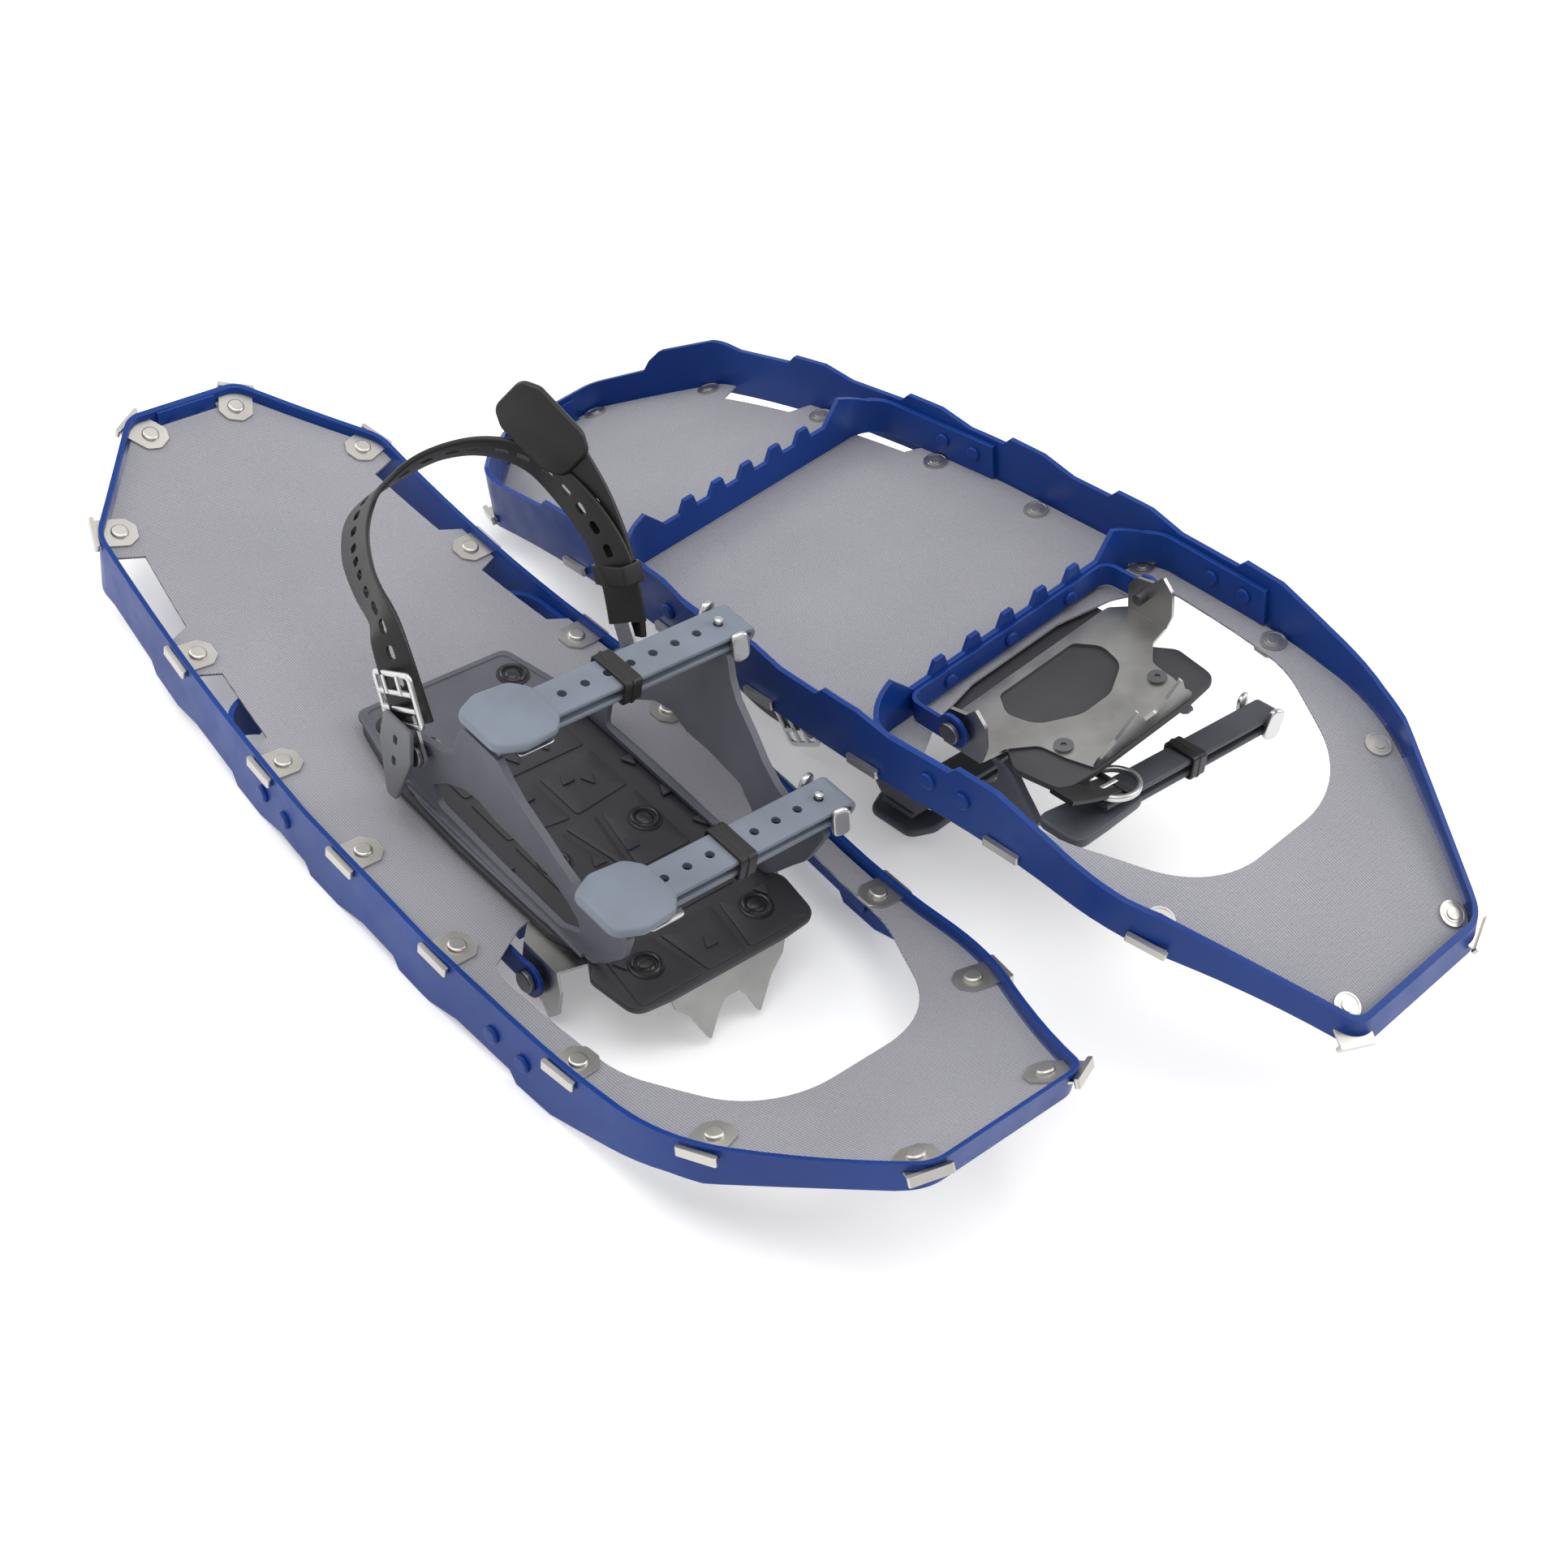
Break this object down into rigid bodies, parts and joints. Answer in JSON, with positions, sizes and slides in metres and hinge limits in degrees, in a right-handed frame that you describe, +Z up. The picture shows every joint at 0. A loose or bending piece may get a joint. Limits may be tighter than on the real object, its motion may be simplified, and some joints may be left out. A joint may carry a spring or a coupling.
{
  "type": "snowshoes",
  "caption": "Pair of metal-framed snowshoes with toothed rims, fabric decks, pivoting crampon bindings and rubber straps, one upright and one turned over.",
  "frame": {"origin": "centre of the pair's bounding box, on the surface they lie on", "axes": "+Y towards the toes, +X to the right shoe's side, +Z up"},
  "size_m": [0.4174, 0.688, 0.1974],
  "materials": {
    "blue_frame": "gloss anodised blue",
    "deck_fabric": "coated grey weave with fine ribs",
    "clip_steel": "satin",
    "crampon_steel": "satin rolled",
    "bright_steel": "bright",
    "dark_steel": "blackened",
    "footbed_rubber": "matt moulded",
    "harness_rubber": "satin moulded",
    "strap_rubber": "satin moulded",
    "heel_rubber": "satin moulded"
  },
  "bodies": {
    "right_frame": {"right_rim": "blue_frame", "right_rim_splice": "blue_frame", "right_rim_splice_rivets": "blue_frame", "right_front_crossbar": "blue_frame", "right_rear_crossbar": "blue_frame", "right_crossbar_rivets": "blue_frame", "right_deck": "deck_fabric", "right_deck_clips": "clip_steel", "right_deck_rivets": "clip_steel", "right_deck_washers": "clip_steel", "right_hinge_bracket": "blue_frame", "right_bracket_rivets": "blue_frame", "right_pivot_pins": "dark_steel"},
    "right_binding": {"right_crampon": "crampon_steel", "right_crampon_rivets": "dark_steel", "right_footbed": "footbed_rubber", "right_footbed_studs": "footbed_rubber", "right_harness": "harness_rubber", "right_front_toe_strap": "strap_rubber", "right_rear_toe_strap": "strap_rubber", "right_toe_strap_hooks": "bright_steel", "right_heel_lug_rivets": "dark_steel"},
    "right_heel": {"right_heel_strap": "heel_rubber", "right_heel_strap_tail": "heel_rubber", "right_heel_links": "bright_steel", "right_heel_buckle": "bright_steel", "right_heel_tongue": "strap_rubber", "right_heel_keeper": "heel_rubber"},
    "right_front_keeper": {"right_front_keeper": "heel_rubber"},
    "right_rear_keeper": {"right_rear_keeper": "heel_rubber"},
    "left_frame": {"left_rim": "blue_frame", "left_rim_splice": "blue_frame", "left_rim_splice_rivets": "blue_frame", "left_front_crossbar": "blue_frame", "left_rear_crossbar": "blue_frame", "left_crossbar_rivets": "blue_frame", "left_deck": "deck_fabric", "left_deck_clips": "clip_steel", "left_deck_rivets": "clip_steel", "left_deck_washers": "clip_steel", "left_hinge_bracket": "blue_frame", "left_bracket_rivets": "blue_frame", "left_pivot_pins": "dark_steel"},
    "left_binding": {"left_crampon": "crampon_steel", "left_crampon_rivets": "dark_steel", "left_footbed": "footbed_rubber", "left_footbed_studs": "footbed_rubber", "left_harness": "harness_rubber", "left_front_toe_strap": "strap_rubber", "left_rear_toe_strap": "strap_rubber", "left_toe_strap_hooks": "bright_steel", "left_heel_lug_rivets": "dark_steel"},
    "left_heel": {"left_heel_strap": "heel_rubber", "left_heel_strap_tail": "heel_rubber", "left_heel_links": "bright_steel", "left_heel_buckle": "bright_steel", "left_heel_tongue": "strap_rubber", "left_heel_keeper": "heel_rubber"},
    "left_front_keeper": {"left_front_keeper": "heel_rubber"},
    "left_rear_keeper": {"left_rear_keeper": "heel_rubber"}
  },
  "joints": [
    {"name": "left_shoe_lift", "type": "slide", "parent": "right_frame", "child": "left_frame", "axis": [0, 0, 1], "range_m": [0, 0.3]},
    {"name": "right_binding_pivot", "type": "hinge", "parent": "right_frame", "child": "right_binding", "pos_m": [0.10196, 0.06572, 0.018], "axis": [-1, 0, 0], "range_deg": [0, 38]},
    {"name": "right_heel_swing", "type": "hinge", "parent": "right_binding", "child": "right_heel", "pos_m": [0.10196, -0.03228, 0.077], "axis": [1, 0, 0], "range_deg": [-30, 25]},
    {"name": "right_front_keeper_slide", "type": "slide", "parent": "right_binding", "child": "right_front_keeper", "axis": [1, 0, 0], "range_m": [-0.032, 0.02]},
    {"name": "right_rear_keeper_slide", "type": "slide", "parent": "right_binding", "child": "right_rear_keeper", "axis": [1, 0, 0], "range_m": [-0.032, 0.02]},
    {"name": "left_binding_pivot", "type": "hinge", "parent": "left_frame", "child": "left_binding", "pos_m": [-0.10093, 0.11102, 0.1159], "axis": [0.9854, 0.0241, -0.1685], "range_deg": [0, 2]},
    {"name": "left_heel_swing", "type": "hinge", "parent": "left_binding", "child": "left_heel", "pos_m": [-0.10968, 0.02139, 0.0519], "axis": [-0.9854, -0.0241, 0.1685], "range_deg": [-4, 3]},
    {"name": "left_front_keeper_slide", "type": "slide", "parent": "left_binding", "child": "left_front_keeper", "axis": [0.9998, -0.0038, 0.0206], "range_m": [-0.032, 0.02]},
    {"name": "left_rear_keeper_slide", "type": "slide", "parent": "left_binding", "child": "left_rear_keeper", "axis": [0.9988, 0.0064, -0.0484], "range_m": [-0.032, 0.02]}
  ]
}
